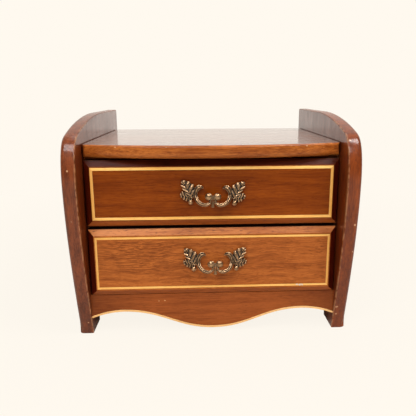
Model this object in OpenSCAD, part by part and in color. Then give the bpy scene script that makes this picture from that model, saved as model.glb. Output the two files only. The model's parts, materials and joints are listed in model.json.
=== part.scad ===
// Vanity box for a dresser top: a lift-up lid with a mirror under it, a lined tray and two drawers.
// Millimetres. Z is up, the front faces -Y, and the origin lies on the floor under the middle of the box.

/* [Overall] */
// Clear width between the two side panels
inner_w = 250; // [200:1:320]
// Thickness of the side panels
panel_t = 13.5; // [10:0.5:18]
// Depth from the foremost point of the side panels to their back edges
depth = 222; // [195:1:280]
// Height of the side panels
panel_h = 223.5; // [212:0.5:260]

/* [Side panels] */
// Height at which the front edge bulges furthest forward
belly_z = 165; // [120:1:172]
// How far the shoulder lies behind the belly
shoulder_back = 18; // [12:0.5:24]
// How far the shoulder lies below the top
shoulder_drop = 16.2; // [10:0.2:22]
// How far behind the belly the top edge becomes level
crown_back = 132; // [100:1:160]
// How far the foot stands behind the belly
foot_back = 28.5; // [16:0.5:36]
// Length of each foot on the floor
foot_d = 29; // [20:0.5:45]
// Height of the cut-out between the feet
arch_h = 20; // [12:0.5:30]
// Radius in the upper corners of that cut-out
arch_r = 12; // [6:0.5:15]
// Radius of the outer arris
panel_round = 4; // [2:0.25:6]
// Radius of the inner arris
panel_ease = 1.2; // [0.5:0.1:2]
// Radius of the top corner at the back
crown_r = 3; // [1:0.5:8]

/* [Front] */
// How far the drawer front edges lie behind the belly
front_setback = 25.5; // [22:0.5:32]
// Thickness of a drawer front at its field
front_t = 12.7; // [11:0.1:16]
// Width of the chamfer round a drawer front
chamfer_w = 5.8; // [3:0.2:9]
// Depth of that chamfer
chamfer_d = 4; // [2:0.2:6]
// Gap between a drawer front and each side panel
side_gap = 1.65; // [0.8:0.05:2.5]
// Height of the lower drawer front
lower_front_h = 69.1; // [56:0.1:84]
// Height of the upper drawer front
upper_front_h = 65.1; // [58:0.1:78]
// Gap between the two drawer fronts
front_gap = 3.4; // [1.5:0.1:3.5]
// Depth of the grooves for the pale stringing
string_t = 1.2; // [0.8:0.1:2]

/* [Drawers] */
// Thickness of drawer sides and backs
drawer_t = 6; // [4.5:0.5:8]
// Thickness of drawer bottoms
bottom_t = 3; // [2:0.2:4]
// Depth of the grooves that hold a drawer bottom
groove_d = 3; // [2:0.2:3.6]
// Height of a drawer bottom above the lower edge of the sides
bottom_lift = 4; // [2:0.2:6]
// Gap between a drawer side and the side panel
drawer_side_gap = 2.5; // [2:0.1:4]
// Free height above a drawer box
headroom = 3.2; // [2:0.1:6]
// Length of the stop blocks behind the drawers
stop_l = 5.5; // [3:0.5:12]
// Thickness of the velvet covered card linings
lining_t = 1.2; // [0.8:0.1:2]
// Thickness of the dividers
divider_t = 4; // [3:0.5:6]

/* [Carcass boards] */
// Height of the top of the base board
base_top_z = 43.9; // [40:0.1:50]
// Thickness of the base board and the dust board
board_t = 6; // [4:0.5:8]
// How far the upper drawer front hangs below the top of the dust board
board_lap = 1.7; // [1.2:0.1:2.5]
// Thickness of the back panel
back_t = 9; // [7.5:0.5:12]
// How far the back panel lies inside the back edges of the side panels
back_recess = 5.5; // [5:0.5:8]
// Gap between the base board and the lower edge of the lower drawer front
apron_gap = 0.5; // [0.3:0.1:1]
// Height of the middle of the apron above the floor
apron_low_z = 5.1; // [4:0.1:12]
// Height of the two crests of the apron curve
apron_crest_z = 24.9; // [20:0.1:30]
// Height of the ends of the apron curve
apron_end_z = 18.2; // [14:0.1:24]
// Distance of each crest from the side panel
crest_in = 33; // [25:0.5:45]
// Thickness of the pale edging strip
edging_t = 2.2; // [1.5:0.1:3]

/* [Tray] */
// Thickness of the tray floor
tray_floor_t = 4; // [3:0.5:6]
// Depth of the tray below its rim
tray_depth = 19.5; // [17.5:0.5:22]
// Thickness of the tray rail and cleats
rail_t = 8; // [6:0.5:10]
// Height of the tray dividers
tray_divider_h = 13; // [9:0.5:14]
// Width of the ring roll compartment
ring_bay_w = 80; // [60:1:96]
// Diameter of one ring roll
roll_d = 12; // [9:0.5:14]

/* [Lid] */
// Thickness of the lid board
lid_t = 12.7; // [11:0.1:16]
// Gap under the lid, above the upper drawer front
lid_gap = 2.5; // [1.8:0.1:4]
// Gap between the lid and each side panel
lid_side_gap = 1.5; // [1:0.1:2.5]
// How far the front corners of the lid stand in front of the drawer front edges
lid_corner_lead = 0.5; // [0:0.1:1.5]
// Bow of the lid front, from the corners to the middle
bow = 17.4; // [10:0.2:20]
// Radius of the front corners in plan
lid_corner_r = 5; // [3:0.5:8]
// Radius of the upper front edge
lid_top_r = 2.5; // [1.5:0.1:3.5]
// Radius of the lower front edge
lid_low_r = 5; // [3:0.1:6]
// Thickness of the felt bumpers
bumper_t = 1; // [0.8:0.1:1.5]
// Radius of the felt bumpers
bumper_r = 3.5; // [2.5:0.25:4]
// How far the lid opens, in degrees
lid_open = 95; // [90:1:105]

/* [Mirror] */
// Thickness of the mirror glass
glass_t = 3; // [2:0.5:4]
// Thickness of the card behind the glass
backing_t = 0.8; // [0.5:0.1:1.5]
// Width of the retaining beads
bead_w = 6; // [5:0.5:9]
// Height of the retaining beads
bead_h = 3.2; // [2:0.1:3.8]
// How far the beads lap over the glass
bead_lap = 2.5; // [1.5:0.1:3.5]
// Gap between the beads and the tray walls below them
bead_gap = 3; // [2:0.1:6]

/* [Hinges] */
// Length of a hinge
hinge_l = 25; // [21:1:36]
// Thickness of a hinge leaf
leaf_t = 1.2; // [1:0.05:1.4]
// Width of a hinge leaf, from its knuckle edge inwards
leaf_w = 7; // [6:0.25:7.25]
// Radius of the knuckles
knuckle_r = 1.8; // [1.6:0.05:1.9]
// Radius of the hinge pins
pin_r = 0.9; // [0.6:0.05:1]
// Reach of the stop tails from the pin
tail_r = 3.2; // [2.8:0.1:3.3]
// Distance from a hinge to the end of the lid
hinge_in = 28; // [15:1:50]
// Shank radius of the hinge screws
hinge_screw_r = 1; // [0.8:0.1:1.2]
// Length of the hinge screws
hinge_screw_l = 8; // [6:0.5:9]

/* [Pulls] */
// Distance between the two fixing posts
post_pitch = 48; // [46:0.5:50]
// Radius of the posts
post_r = 3.4; // [3:0.1:4]
// How far the leaves stand off the drawer front
leaf_standoff = 1.5; // [1:0.1:3]
// Greatest thickness of the cast leaves
leaf_crown = 4; // [3.4:0.1:5]
// How far the middle of the pull stands off the drawer front
pull_reach = 12; // [10.5:0.5:14]
// Radius of the scroll arms at their thickest
arm_r = 2.1; // [1.6:0.1:2.4]
// Radius of the two volutes
volute_r = 4.2; // [3.4:0.1:4.4]
// Radius of the berries
berry_r = 2.6; // [2:0.1:3]
// Shank radius of the pull screws
pull_screw_r = 2; // [1.5:0.1:2.2]
// Depth of the threaded holes in the posts
post_hole_d = 4; // [2.5:0.1:4.2]

/* [Hidden] */

$fn = 48;
mahogany = [0.42, 0.20, 0.08];
dark_mahogany = [0.33, 0.14, 0.06];
boxwood = [0.93, 0.70, 0.38];
drawer_wood = [0.78, 0.62, 0.42];
velvet = [0.42, 0.05, 0.09];
antique_brass = [0.52, 0.42, 0.28];
brass = [0.80, 0.62, 0.30];
steel = [0.62, 0.62, 0.64];
glass_tint = [0.80, 0.85, 0.87];
card_grey = [0.30, 0.28, 0.26];
felt_brown = [0.18, 0.14, 0.12];

// Clearances that parts share
run_gap = 0.3;
fit_gap = 0.3;
screw_clear = 0.25;
hair = 0.05;

// Planes from front to back
belly_y = -depth / 2;
back_y = depth / 2;
edge_y = belly_y + front_setback;
field_y = edge_y - chamfer_d;
front_back_y = field_y + front_t;
board_y = front_back_y + fit_gap;
back_rear_y = back_y - back_recess;
back_front_y = back_rear_y - back_t;
tray_front_y = board_y + rail_t;
half_w = inner_w / 2;

// Heights from the floor up
lower_board_top = base_top_z;
lower_front_z = base_top_z + apron_gap;
upper_front_z = lower_front_z + lower_front_h + front_gap;
upper_board_top = upper_front_z + board_lap;
lid_z = upper_front_z + upper_front_h + lid_gap;
rim_z = lid_z - bumper_t;
tray_z = rim_z - tray_depth;
tray_half_w = half_w - rail_t;
lining_z = tray_z + lining_t;

// Drawers: 0 is the lower one and 1 the upper one
front_w = inner_w - 2 * side_gap;
board_top = [lower_board_top, upper_board_top];
front_z = [lower_front_z, upper_front_z];
front_h = [lower_front_h, upper_front_h];
ceiling_z = [upper_board_top - board_t, tray_z - tray_floor_t];
box_half_w = half_w - drawer_side_gap;
box_back_y = back_front_y - stop_l - fit_gap;
string_inset = [[0.9, 1.55], [0.35, 0.9]];
string_w = [2.1, 2.7];
pull_shift = [1.6, -0.3];
pull_rise = [-1, -4];
pull_turn = [0, 2];

// Hinges: the pin lies just behind the rear edges, level with the gap under the lid
knuckle_off = 0.2;
pin_y = back_rear_y + knuckle_r + knuckle_off;
pin_z = lid_z - bumper_t / 2;
leaf_gap = 0.4;
pin_clear = 0.05;
hinge_x = half_w - lid_side_gap - hinge_in - hinge_l / 2;
screw_y = back_rear_y - leaf_w / 2;
screw_dx = hinge_l / 2 - 5;

// Mirror, centred over the tray
bead_out_x = tray_half_w - bead_gap;
bead_front_y = tray_front_y + bead_gap;
bead_back_y = back_front_y - bead_gap;
glass_in = bead_w - bead_lap;
pocket_t = glass_t + backing_t;

// Points of a cubic curve through p[0] and p[3], steered by p[1] and p[2]
function curve(p, n) = [for (i = [0:n - 1])
    let (t = i / n, u = 1 - t)
    u * u * u * p[0] + 3 * u * u * t * p[1] + 3 * u * t * t * p[2] + t * t * t * p[3]];

// Points of an arc about c
function arc(c, r, a0, a1, n) = [for (i = [0:n])
    let (a = a0 + (a1 - a0) * i / n)
    [c[0] + r * cos(a), c[1] + r * sin(a)]];

function unit(v) = v / norm(v);
function mean(p) = [for (q = p) 1] * p / len(p);

module box(x0, x1, y0, y1, z0, z1) {
    translate([x0, y0, z0])
        cube([x1 - x0, y1 - y0, z1 - z0]);
}

// Extrudes an outline drawn in Y and Z along X, from x0 to x1
module along_x(x0, x1) {
    translate([x0, 0, 0])
        rotate([90, 0, 90])
            linear_extrude(x1 - x0)
                children();
}

// Extrudes an outline drawn in X and Z along Y, from y0 to y1
module along_y(y0, y1) {
    translate([0, y1, 0])
        rotate([90, 0, 0])
            linear_extrude(y1 - y0)
                children();
}

// Outline of a side panel in Y and Z, without the cut-out, and each point's share of the full rounding
foot_y = belly_y + foot_back;
belly = [belly_y, belly_z];
shoulder = [belly_y + shoulder_back, panel_h - shoulder_drop];
crown = [belly_y + crown_back, panel_h];
shoulder_slope = [13, 4.3];
front_curve = curve([[foot_y, 0], [foot_y - foot_back / 2, belly_z / 3],
    [belly_y, belly_z * 0.7], belly], 14);
shoulder_curve = curve([belly, belly + [0, (shoulder[1] - belly_z) * 0.47],
    shoulder - shoulder_slope, shoulder], 9);
crown_curve = curve([shoulder, shoulder + shoulder_slope * 2.3,
    crown - [(crown[0] - shoulder[0]) * 0.4, 0], crown], 9);
crown_corner = arc([back_y - crown_r, panel_h - crown_r], crown_r, 90, 0, 4);
front_points = concat(front_curve, shoulder_curve, crown_curve);
panel_points = concat(front_points, crown_corner, [[back_y, 0]]);
foot_share = 0.4;
corner_share = min(1, 0.9 * crown_r / panel_round);
panel_share = concat([foot_share], [for (i = [1:len(front_points) - 1]) 1],
    [for (p = crown_corner) corner_share], [foot_share]);

// The cut-out between the feet, from the floor up
rear_foot_y = back_y - foot_d;
front_foot_y = foot_y + foot_d;
arch_points = concat(arc([rear_foot_y - arch_r, arch_h - arch_r], arch_r, 0, 90, 8),
    arc([front_foot_y + arch_r, arch_h - arch_r], arch_r, 90, 180, 8),
    [[front_foot_y, -1], [rear_foot_y, -1]]);

// Direction into the wood at point i of a clockwise outline
function inward(p, i) = let (k = len(p), d = unit(p[(i + 1) % k] - p[(i + k - 1) % k])) [d[1], -d[0]];

// A closed skin over rings of corners, each joined to the next, with a fan about a hub at either end
module skin(rings, hubs) {
    k = len(rings[0]);
    last = len(rings) - 1;
    hub = k * len(rings);
    sides = [for (j = [0:last - 1], i = [0:k - 1], half = [0, 1])
        let (a = j * k + i, b = j * k + (i + 1) % k)
        half == 0 ? [a, b, b + k] : [a, b + k, a + k]];
    near_cap = [for (i = [0:k - 1]) [hub, (i + 1) % k, i]];
    far_cap = [for (i = [0:k - 1]) [hub + 1, last * k + i, last * k + (i + 1) % k]];
    polyhedron(concat([for (ring = rings, corner = ring) corner], hubs), concat(sides, near_cap, far_cap));
}

// A panel whose two arrises are rounded: ring after ring of one outline, each drawn in by its own inset
module eased_panel(points, share, rings) {
    last = len(points) - 1;
    skin([for (ring = rings) [for (i = [0:last])
        let (p = points[i] + inward(points, i) * share[i] * ring[1])
        [ring[0], p[0], p[1]]]],
        [for (ring = [rings[0], rings[len(rings) - 1]]) [ring[0], 0, panel_h / 2]]);
}

module side_panel(side) {
    out = half_w + panel_t;
    rings = concat([[half_w, panel_ease], [half_w + 0.3 * panel_ease, 0.3 * panel_ease],
        [half_w + panel_ease, 0]],
        [for (a = [0:22.5:90]) [out - panel_round * (1 - sin(a)), panel_round * (1 - cos(a))]]);
    color(mahogany)
        mirror([side < 0 ? 1 : 0, 0, 0])
            difference() {
                eased_panel(panel_points, panel_share, rings);
                along_x(half_w - 1, out + 1)
                    polygon(arch_points);
            }
}

module side_panel_left() {
    side_panel(-1);
}

module side_panel_right() {
    side_panel(1);
}

// Positions of the screws that hold the back panel to the two boards
back_screw_x = half_w * 0.8;
back_screw_z = [base_top_z - board_t / 2, upper_board_top - board_t / 2];
back_screw_r = 1.5;
back_screw_l = 18;
back_head_r = 2.9;
back_head_h = 1.8;
back_slot_w = 0.8;
back_slot_d = 0.6;

module back_screw(grow) {
    rotate([90, 0, 0]) {
        cylinder(h = back_screw_l, r = back_screw_r + grow);
        translate([0, 0, -hair])
            cylinder(h = back_head_h + hair, r1 = back_head_r + grow, r2 = back_screw_r + grow);
    }
}

module at_back_screws() {
    for (x = [-back_screw_x, 0, back_screw_x], z = back_screw_z)
        translate([x, back_rear_y - hair, z])
            children();
}

module back_panel_screws() {
    color(steel)
        at_back_screws()
            difference() {
                back_screw(0);
                box(-back_slot_w / 2, back_slot_w / 2, -back_slot_d, 1, -back_head_r, back_head_r);
            }
}

module back_panel() {
    color(dark_mahogany)
        difference() {
            box(-half_w, half_w, back_front_y, back_rear_y, base_top_z - board_t, rim_z);
            at_back_screws()
                back_screw(hair);
            for (s = [-1, 1])
                translate([s * hinge_x, 0, 0])
                    box(-hinge_l / 2, hinge_l / 2, back_rear_y - leaf_w, back_rear_y + 1,
                        pin_z - leaf_gap / 2 - leaf_t, rim_z + 1);
            at_hinge_screws()
                translate([0, 0, pin_z - leaf_gap / 2 - hinge_screw_l])
                    cylinder(h = hinge_screw_l, r = hinge_screw_r + hair);
        }
}

module carcass_board(top) {
    color(dark_mahogany)
        difference() {
            box(-half_w, half_w, board_y, back_front_y, top - board_t, top);
            at_back_screws()
                back_screw(hair);
        }
}

module base_board() {
    carcass_board(lower_board_top);
}

module dust_board() {
    carcass_board(upper_board_top);
}

module tray_floor() {
    color(dark_mahogany)
        box(-half_w, half_w, board_y, back_front_y, tray_z - tray_floor_t, tray_z);
}

module tray_front_rail() {
    color(mahogany)
        box(-half_w, half_w, board_y, tray_front_y, tray_z, rim_z);
}

module tray_cleat(side) {
    color(mahogany)
        mirror([side < 0 ? 1 : 0, 0, 0])
            box(tray_half_w, half_w, tray_front_y, back_front_y, tray_z, rim_z);
}

module tray_cleat_left() {
    tray_cleat(-1);
}

module tray_cleat_right() {
    tray_cleat(1);
}

// The serpentine lower edge, from the right side panel to the left one
crest_x = half_w - crest_in;
apron_rise = apron_crest_z - apron_end_z;
half_curve = concat(
    curve([[half_w, apron_end_z], [half_w - crest_in * 0.27, apron_end_z + apron_rise * 0.55],
        [crest_x + crest_in * 0.36, apron_crest_z], [crest_x, apron_crest_z]], 8),
    curve([[crest_x, apron_crest_z], [crest_x * 0.565, apron_crest_z],
        [crest_x * 0.413, apron_low_z], [0, apron_low_z]], 16));
apron_curve = concat(half_curve, [[0, apron_low_z]],
    [for (i = [len(half_curve) - 1:-1:0]) [-half_curve[i][0], half_curve[i][1]]]);
function raised(points, dz) = [for (p = points) [p[0], p[1] + dz]];
function backwards(points) = [for (i = [len(points) - 1:-1:0]) points[i]];

module apron() {
    color(mahogany)
        along_y(edge_y, board_y)
            polygon(concat([[half_w, base_top_z]], raised(apron_curve, edging_t), [[-half_w, base_top_z]]));
}

module apron_edging() {
    color(boxwood)
        along_y(edge_y, board_y)
            polygon(concat(apron_curve, backwards(raised(apron_curve, edging_t))));
}

// Glue blocks are three-cornered and sit under the base board
block_leg = 12;
block_l = 30;

module glue_blocks() {
    under_z = base_top_z - board_t;
    side_y = [-0.12 * depth, 0.2 * depth];
    front_x = 0.45 * half_w;
    color(drawer_wood) {
        for (s = [-1, 1], y = side_y)
            mirror([s < 0 ? 1 : 0, 0, 0])
                along_y(y - block_l / 2, y + block_l / 2)
                    polygon([[half_w, under_z], [half_w - block_leg, under_z],
                        [half_w, under_z - block_leg]]);
        for (x = [-front_x, front_x])
            along_x(x - block_l / 2, x + block_l / 2)
                polygon([[board_y, under_z], [board_y + block_leg, under_z],
                    [board_y, under_z - block_leg]]);
    }
}

module drawer_stops() {
    stop_x = half_w * 0.7;
    stop_w = 10;
    stop_h = 14;
    color(drawer_wood)
        for (s = [-1, 1], top = board_top)
            box(s * stop_x - stop_w / 2, s * stop_x + stop_w / 2, back_front_y - stop_l, back_front_y,
                top, top + stop_h);
}

module tray_lining() {
    color(velvet)
        box(-tray_half_w + fit_gap, tray_half_w - fit_gap, tray_front_y + fit_gap,
            back_front_y - fit_gap, tray_z, lining_z);
}

// Two long dividers make the ring roll bay in the middle of the tray
module tray_divider(side) {
    color(velvet)
        mirror([side < 0 ? 1 : 0, 0, 0])
            box(ring_bay_w / 2, ring_bay_w / 2 + divider_t, tray_front_y + fit_gap,
                back_front_y - fit_gap, lining_z, lining_z + tray_divider_h);
}

module tray_divider_left() {
    tray_divider(-1);
}

module tray_divider_right() {
    tray_divider(1);
}

module tray_cross_dividers() {
    mid_y = (tray_front_y + back_front_y) / 2;
    color(velvet)
        for (s = [0, 1])
            mirror([s, 0, 0])
                box(ring_bay_w / 2 + divider_t + fit_gap, tray_half_w - fit_gap, mid_y - divider_t / 2,
                    mid_y + divider_t / 2, lining_z, lining_z + tray_divider_h);
}

module ring_rolls() {
    bay_l = back_front_y - tray_front_y - 2 * fit_gap;
    count = floor(bay_l / (roll_d + fit_gap));
    pitch = bay_l / count;
    roll_l = ring_bay_w - 2 * fit_gap;
    color(velvet)
        for (i = [0:count - 1])
            translate([-roll_l / 2, tray_front_y + fit_gap + pitch * (i + 0.5), lining_z + roll_d / 2])
                rotate([0, 90, 0])
                    cylinder(h = roll_l, r = roll_d / 2);
}

// A stop hinge: the carcass leaf carries the outer knuckles, the lid leaf the middle one.
// Behind the pin each leaf has a tail, and the tails meet when the lid is fully open.
third = hinge_l / 3;
tail_low_a = -60;
tail_spread = 38;
stop_slack = 1;
tail_root_r = pin_r + 0.3;
tail_bridge_r = knuckle_r + 0.15;
strap_lap = 0.5;
leaf_back = 0.15;

function sector(r0, r1, a0, a1) = concat(arc([0, 0], r0, a0, a1, 4), arc([0, 0], r1, a1, a0, 4));

module at_pin() {
    translate([0, pin_y, pin_z])
        children();
}

module knuckle(x0, x1) {
    at_pin()
        along_x(x0, x1)
            circle(r = knuckle_r);
}

module pin_bore() {
    at_pin()
        along_x(-hinge_l, hinge_l)
            circle(r = pin_r + pin_clear);
}

module leaf_screw(up, grow) {
    head_h = 0.9;
    head_r = 1.9;
    mirror([0, 0, up ? 0 : 1]) {
        cylinder(h = hinge_screw_l, r = hinge_screw_r + grow);
        cylinder(h = head_h, r1 = head_r + grow, r2 = hinge_screw_r + grow);
    }
}

module at_hinge_screws() {
    for (s = [-1, 1], dx = [-screw_dx, screw_dx])
        translate([s * hinge_x + dx, screw_y, 0])
            children();
}

module hinge_lower_leaf(side) {
    top = pin_z - leaf_gap / 2;
    half = hinge_l / 2;
    color(brass)
        translate([side * hinge_x, 0, 0])
            difference() {
                union() {
                    box(-half, half, back_rear_y - leaf_w + hair, back_rear_y, top - leaf_t, top);
                    for (s = [-1, 1]) {
                        box(s < 0 ? -half : half - third + hair, s < 0 ? -half + third - hair : half,
                            back_rear_y - strap_lap, pin_y, top - leaf_t, top);
                        knuckle(s < 0 ? -half : half - third + hair, s < 0 ? -half + third - hair : half);
                    }
                    for (s = [-1, 1])
                        at_pin()
                            along_x(s < 0 ? -half : half - third + hair, s < 0 ? -half + third - hair : half)
                                polygon(sector(tail_root_r, tail_r, tail_low_a, tail_low_a - tail_spread));
                    at_pin()
                        along_x(-half, half)
                            polygon(sector(tail_bridge_r, tail_r, tail_low_a, tail_low_a - tail_spread));
                }
                pin_bore();
                for (dx = [-screw_dx, screw_dx])
                    translate([dx, screw_y, top])
                        leaf_screw(false, hair);
            }
}

module hinge_lower_leaf_left() {
    hinge_lower_leaf(-1);
}

module hinge_lower_leaf_right() {
    hinge_lower_leaf(1);
}

module hinge_upper_leaf(side) {
    low = pin_z + leaf_gap / 2;
    half = hinge_l / 2;
    mid = third / 2 - hair;
    tail_a = tail_low_a + lid_open + stop_slack;
    color(brass)
        translate([side * hinge_x, 0, 0])
            difference() {
                union() {
                    box(-half, half, back_rear_y - leaf_w + hair, back_rear_y - leaf_back, low, low + leaf_t);
                    box(-mid, mid, back_rear_y - strap_lap, pin_y, low, low + leaf_t);
                    knuckle(-mid, mid);
                    at_pin()
                        along_x(-mid, mid)
                            polygon(sector(tail_root_r, tail_r, tail_a, tail_a + tail_spread));
                }
                pin_bore();
                for (dx = [-screw_dx, screw_dx])
                    translate([dx, screw_y, low])
                        leaf_screw(true, hair);
            }
}

module hinge_upper_leaf_left() {
    hinge_upper_leaf(-1);
}

module hinge_upper_leaf_right() {
    hinge_upper_leaf(1);
}

module hinge_pins() {
    color(steel)
        for (s = [-1, 1])
            translate([s * hinge_x, 0, 0])
                at_pin()
                    along_x(-hinge_l / 2, hinge_l / 2)
                        circle(r = pin_r);
}

module lower_leaf_screws() {
    color(brass)
        at_hinge_screws()
            translate([0, 0, pin_z - leaf_gap / 2])
                leaf_screw(false, 0);
}

module upper_leaf_screws() {
    color(brass)
        at_hinge_screws()
            translate([0, 0, pin_z + leaf_gap / 2])
                leaf_screw(true, 0);
}

// Lid board: a large disc with a moulded rim, cut to the width between the panels
lid_half_w = half_w - lid_side_gap;
lid_corner_y = edge_y - lid_corner_lead;
lid_front_y = lid_corner_y - bow;
bow_r = (lid_half_w * lid_half_w + bow * bow) / (2 * bow);
bow_y = lid_front_y + bow_r;
corner_cut_y = bow_y - sqrt(pow(bow_r - lid_corner_r, 2) - pow(lid_half_w - lid_corner_r, 2));

module lid_blank() {
    rim = concat([[0, 0]], arc([bow_r - lid_low_r, lid_low_r], lid_low_r, -90, 0, 6),
        arc([bow_r - lid_top_r, lid_t - lid_top_r], lid_top_r, 0, 90, 4), [[0, lid_t]]);
    difference() {
        intersection() {
            translate([0, bow_y, lid_z])
                rotate_extrude($fn = 360)
                    polygon(rim);
            box(-lid_half_w, lid_half_w, lid_front_y - 1, back_rear_y, lid_z - 1, lid_z + lid_t + 1);
        }
        for (s = [0, 1])
            mirror([s, 0, 0])
                difference() {
                    box(lid_half_w - lid_corner_r, lid_half_w + 1, lid_front_y - 1, corner_cut_y,
                        lid_z - 1, lid_z + lid_t + 1);
                    translate([lid_half_w - lid_corner_r, corner_cut_y, lid_z - 2])
                        cylinder(h = lid_t + 4, r = lid_corner_r);
                }
    }
}

module lid_board() {
    color(mahogany)
        difference() {
            lid_blank();
            box(-bead_out_x + glass_in - hair, bead_out_x - glass_in + hair,
                bead_front_y + glass_in - hair, bead_back_y - glass_in + hair, lid_z - 1, lid_z + pocket_t);
            for (s = [-1, 1])
                translate([s * hinge_x, 0, 0])
                    box(-hinge_l / 2, hinge_l / 2, back_rear_y - leaf_w, back_rear_y + 1,
                        lid_z - 1, pin_z + leaf_gap / 2 + leaf_t);
            at_hinge_screws()
                translate([0, 0, pin_z])
                    cylinder(h = hinge_screw_l + leaf_gap / 2 + hair, r = hinge_screw_r + hair);
        }
}

module mirror_plate(z0, z1) {
    box(-bead_out_x + glass_in, bead_out_x - glass_in,
        bead_front_y + glass_in, bead_back_y - glass_in, z0, z1);
}

module mirror_glass() {
    color(glass_tint)
        mirror_plate(lid_z, lid_z + glass_t);
}

module mirror_backing() {
    color(card_grey)
        mirror_plate(lid_z + glass_t, lid_z + pocket_t);
}

// Retaining bead along an edge of length l: flat against the lid, rounded below, mitred at both ends
bead_flat = 1;
bead_lip = 0.8;

module bead(l) {
    round_in = bead_w - bead_flat;
    round_up = bead_h - bead_lip;
    color(mahogany)
        intersection() {
            along_x(-l / 2, l / 2)
                polygon(concat([[0, 0], [bead_w, 0]],
                    [for (a = [0:15:90]) [bead_flat + round_in * cos(a), -bead_lip - round_up * sin(a)]],
                    [[0, -bead_h]]));
            translate([0, 0, -bead_h - 1])
                linear_extrude(bead_h + 2)
                    polygon([[-l / 2, 0], [l / 2, 0], [l / 2 - bead_w, bead_w], [-l / 2 + bead_w, bead_w]]);
        }
}

module mirror_bead_front() {
    translate([0, bead_front_y, lid_z])
        bead(2 * bead_out_x);
}

module mirror_bead_back() {
    translate([0, bead_back_y, lid_z])
        rotate([0, 0, 180])
            bead(2 * bead_out_x);
}

module mirror_bead_left() {
    translate([-bead_out_x, (bead_front_y + bead_back_y) / 2, lid_z])
        rotate([0, 0, -90])
            bead(bead_back_y - bead_front_y);
}

module mirror_bead_right() {
    translate([bead_out_x, (bead_front_y + bead_back_y) / 2, lid_z])
        rotate([0, 0, 90])
            bead(bead_back_y - bead_front_y);
}

module lid_bumpers() {
    color(felt_brown)
        for (s = [-1, 1])
            translate([s * (half_w - rail_t * 1.5), board_y + rail_t / 2, rim_z])
                cylinder(h = bumper_t, r = bumper_r);
}

// Front of a drawer, without its grooves: the chamfers cut all four edges and meet in mitres
module chamfered_blank(w, h) {
    over = 1;
    slope = chamfer_w / chamfer_d;
    wedge = [[-over, chamfer_w + over * slope], [chamfer_d + over, -over * slope],
        [-over, -over * slope]];
    difference() {
        box(-w / 2, w / 2, 0, front_t, 0, h);
        for (turn = [0, 1])
            translate([0, 0, turn * h])
                mirror([0, 0, turn])
                    along_x(-w, w)
                        polygon(wedge);
        for (turn = [0, 1])
            mirror([turn, 0, 0])
                translate([-w / 2, 0, 0])
                    linear_extrude(h * 3, center = true)
                        polygon([for (p = wedge) [p[1], p[0]]]);
    }
}

// One mitred strip of stringing, in the X and Z plane of a drawer front
module string_outline(w, h, inset, sw, edge) {
    x0 = w / 2 - chamfer_w - inset[0];
    z0 = chamfer_w + inset[1];
    z1 = h - z0;
    if (edge == "top")
        polygon([[-x0, z1], [x0, z1], [x0 - sw, z1 - sw], [-x0 + sw, z1 - sw]]);
    if (edge == "bottom")
        polygon([[-x0, z0], [x0, z0], [x0 - sw, z0 + sw], [-x0 + sw, z0 + sw]]);
    if (edge == "left")
        polygon([[-x0, z0], [-x0, z1], [-x0 + sw, z1 - sw], [-x0 + sw, z0 + sw]]);
    if (edge == "right")
        polygon([[x0, z0], [x0, z1], [x0 - sw, z1 - sw], [x0 - sw, z0 + sw]]);
}

module at_front(i) {
    translate([0, field_y, front_z[i]])
        children();
}

module string_strip(i, edge) {
    color(boxwood)
        at_front(i)
            intersection() {
                chamfered_blank(front_w, front_h[i]);
                along_y(-1, string_t)
                    string_outline(front_w, front_h[i], string_inset[i], string_w[i], edge);
            }
}

// Places of the pulls: off the middle of the front, above or below it, and their slight turn
module at_pull(i) {
    translate([pull_shift[i], 0, front_h[i] / 2 + pull_rise[i]])
        rotate([0, pull_turn[i], 0])
            children();
}

module at_posts(i) {
    at_pull(i)
        for (s = [-1, 1])
            translate([s * leaf_x, 0, post_z])
                children();
}

// Height of the bottom panel inside the drawer, measured from the board below
function bottom_z(i) = board_top[i] + run_gap + bottom_lift;

module drawer_bottom_plate(i, grow) {
    box(-box_half_w + drawer_t - groove_d, box_half_w - drawer_t + groove_d, front_back_y - groove_d,
        box_back_y, bottom_z(i) - grow, bottom_z(i) + bottom_t + grow);
}

module drawer_front(i) {
    color(mahogany)
        difference() {
            at_front(i)
                difference() {
                    chamfered_blank(front_w, front_h[i]);
                    along_y(-1, string_t)
                        for (edge = ["top", "bottom", "left", "right"])
                            string_outline(front_w, front_h[i], string_inset[i], string_w[i], edge);
                    at_posts(i)
                        rotate([-90, 0, 0])
                            translate([0, 0, -1])
                                cylinder(h = front_t + 2, r = pull_screw_r + screw_clear);
                }
            drawer_bottom_plate(i, 0);
        }
}

module drawer_side(i, side) {
    low = board_top[i] + run_gap;
    color(drawer_wood)
        difference() {
            mirror([side < 0 ? 1 : 0, 0, 0])
                box(box_half_w - drawer_t, box_half_w, front_back_y, box_back_y,
                    low, ceiling_z[i] - headroom);
            drawer_bottom_plate(i, 0);
        }
}

module drawer_back(i) {
    color(drawer_wood)
        box(-box_half_w + drawer_t, box_half_w - drawer_t, box_back_y - drawer_t, box_back_y,
            bottom_z(i) + bottom_t, ceiling_z[i] - headroom);
}

module drawer_bottom(i) {
    color(drawer_wood)
        drawer_bottom_plate(i, 0);
}

module drawer_lining(i) {
    color(velvet)
        box(-box_half_w + drawer_t + fit_gap, box_half_w - drawer_t - fit_gap, front_back_y + fit_gap,
            box_back_y - drawer_t - fit_gap, bottom_z(i) + bottom_t, bottom_z(i) + bottom_t + lining_t);
}

module pull_screws(i) {
    head_r = 3.8;
    head_h = 2.4;
    slot_w = 1;
    color(steel)
        at_front(i)
            at_posts(i)
                translate([0, front_t, 0])
                    rotate([90, 0, 0]) {
                        cylinder(h = front_t + post_hole_d - fit_gap, r = pull_screw_r);
                        translate([0, 0, -head_h])
                            difference() {
                                cylinder(h = head_h, r = head_r);
                                box(-head_r, head_r, -slot_w / 2, slot_w / 2, -slot_w, slot_w);
                            }
                    }
}

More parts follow.
